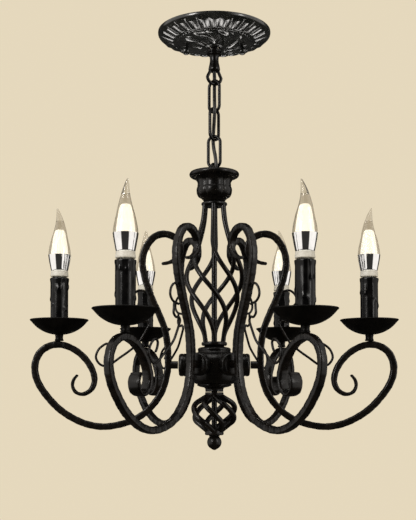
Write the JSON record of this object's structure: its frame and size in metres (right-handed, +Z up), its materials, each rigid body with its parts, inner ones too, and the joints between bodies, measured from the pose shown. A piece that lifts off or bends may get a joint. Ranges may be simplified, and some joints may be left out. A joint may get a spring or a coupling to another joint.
{
  "type": "multi arm chandelier",
  "caption": "Wrought iron scroll-arm candle chandelier with a twisted cage column, hung on a short chain from a dished ceiling canopy.",
  "frame": {"origin": "centre of the crossbar's top face, where it meets the ceiling", "axes": "+Z up, out of the ceiling; +X towards arm 1, along the crossbar; the lamp is seen from -Y"},
  "size_m": [0.5848, 0.518, 0.6686],
  "materials": {
    "wrought_iron": "satin black paint over forged iron",
    "canopy_gloss": "gloss black paint over embossed sheet",
    "zinc_steel": "zinc plated steel",
    "centre_pipe_black": "satin black paint",
    "cable_jacket": "black cable jacket",
    "porcelain": "white unglazed ceramic",
    "candle_sleeve_black": "gloss black sleeve shaped like a dripping candle",
    "bulb_chrome": "chromed cup under the bulb's tip",
    "bulb_core": "lit opal light guide inside the bulb",
    "bulb_collar": "pale grey moulded collar of the bulb",
    "nickel_base": "nickel plated E14 screw base",
    "bulb_glass": "clear glass flame tip over a lit core and a chromed cup"
  },
  "bodies": {
    "ceiling_mount": {"ceiling_crossbar": "zinc_steel", "canopy": "canopy_gloss", "canopy_screw_left": "canopy_gloss", "canopy_screw_right": "canopy_gloss", "canopy_loop": "wrought_iron", "power_cable": "cable_jacket"},
    "chain_link_1_body": {"chain_link_1": "wrought_iron"},
    "chain_link_2_body": {"chain_link_2": "wrought_iron"},
    "chain_link_3_body": {"chain_link_3": "wrought_iron"},
    "fixture": {"top_eye": "wrought_iron", "top_cup": "wrought_iron", "cage": "wrought_iron", "centre_pipe": "centre_pipe_black", "hub_body": "wrought_iron", "hub_lid": "wrought_iron", "wire_splice": "porcelain", "lower_cage": "wrought_iron", "finial": "wrought_iron", "arm_1": "wrought_iron", "arm_2": "wrought_iron", "arm_3": "wrought_iron", "arm_4": "wrought_iron", "arm_5": "wrought_iron", "arm_6": "wrought_iron", "arm_cap_1": "wrought_iron", "arm_cap_2": "wrought_iron", "arm_cap_3": "wrought_iron", "arm_cap_4": "wrought_iron", "arm_cap_5": "wrought_iron", "arm_cap_6": "wrought_iron", "tendril_1": "wrought_iron", "tendril_2": "wrought_iron", "tendril_3": "wrought_iron", "tendril_4": "wrought_iron", "tendril_5": "wrought_iron", "tendril_6": "wrought_iron", "drip_cup_1": "wrought_iron", "drip_cup_2": "wrought_iron", "drip_cup_3": "wrought_iron", "drip_cup_4": "wrought_iron", "drip_cup_5": "wrought_iron", "drip_cup_6": "wrought_iron", "candle_sleeve_1": "candle_sleeve_black", "candle_sleeve_2": "candle_sleeve_black", "candle_sleeve_3": "candle_sleeve_black", "candle_sleeve_4": "candle_sleeve_black", "candle_sleeve_5": "candle_sleeve_black", "candle_sleeve_6": "candle_sleeve_black", "lampholder_1": "porcelain", "lampholder_2": "porcelain", "lampholder_3": "porcelain", "lampholder_4": "porcelain", "lampholder_5": "porcelain", "lampholder_6": "porcelain"},
    "bulb_1_body": {"bulb_1": "bulb_glass"},
    "bulb_2_body": {"bulb_2": "bulb_glass"},
    "bulb_3_body": {"bulb_3": "bulb_glass"},
    "bulb_4_body": {"bulb_4": "bulb_glass"},
    "bulb_5_body": {"bulb_5": "bulb_glass"},
    "bulb_6_body": {"bulb_6": "bulb_glass"}
  },
  "joints": [
    {"name": "chain_swing_1", "type": "hinge", "parent": "ceiling_mount", "child": "chain_link_1_body", "pos_m": [0, 0, -0.0844], "axis": [0.9063, 0.4226, 0], "range_deg": [-15, 15], "deforming": ["power_cable"]},
    {"name": "chain_swing_2", "type": "hinge", "parent": "chain_link_1_body", "child": "chain_link_2_body", "pos_m": [0, 0, -0.1292], "axis": [0.8192, -0.5736, 0], "range_deg": [-15, 15], "deforming": ["power_cable"]},
    {"name": "chain_swing_3", "type": "hinge", "parent": "chain_link_2_body", "child": "chain_link_3_body", "pos_m": [0, 0, -0.174], "axis": [0.7071, 0.7071, 0], "range_deg": [-15, 15], "deforming": ["power_cable"]},
    {"name": "chain_swing_4", "type": "hinge", "parent": "chain_link_3_body", "child": "fixture", "pos_m": [0, 0, -0.2188], "axis": [0.9659, -0.2588, 0], "range_deg": [-15, 15], "deforming": ["power_cable"]},
    {"name": "bulb_1_unscrew", "type": "slide", "parent": "fixture", "child": "bulb_1_body", "axis": [0, 0, 1], "range_m": [0, 0.03]},
    {"name": "bulb_2_unscrew", "type": "slide", "parent": "fixture", "child": "bulb_2_body", "axis": [0, 0, 1], "range_m": [0, 0.03]},
    {"name": "bulb_3_unscrew", "type": "slide", "parent": "fixture", "child": "bulb_3_body", "axis": [0, 0, 1], "range_m": [0, 0.03]},
    {"name": "bulb_4_unscrew", "type": "slide", "parent": "fixture", "child": "bulb_4_body", "axis": [0, 0, 1], "range_m": [0, 0.03]},
    {"name": "bulb_5_unscrew", "type": "slide", "parent": "fixture", "child": "bulb_5_body", "axis": [0, 0, 1], "range_m": [0, 0.03]},
    {"name": "bulb_6_unscrew", "type": "slide", "parent": "fixture", "child": "bulb_6_body", "axis": [0, 0, 1], "range_m": [0, 0.03]}
  ]
}
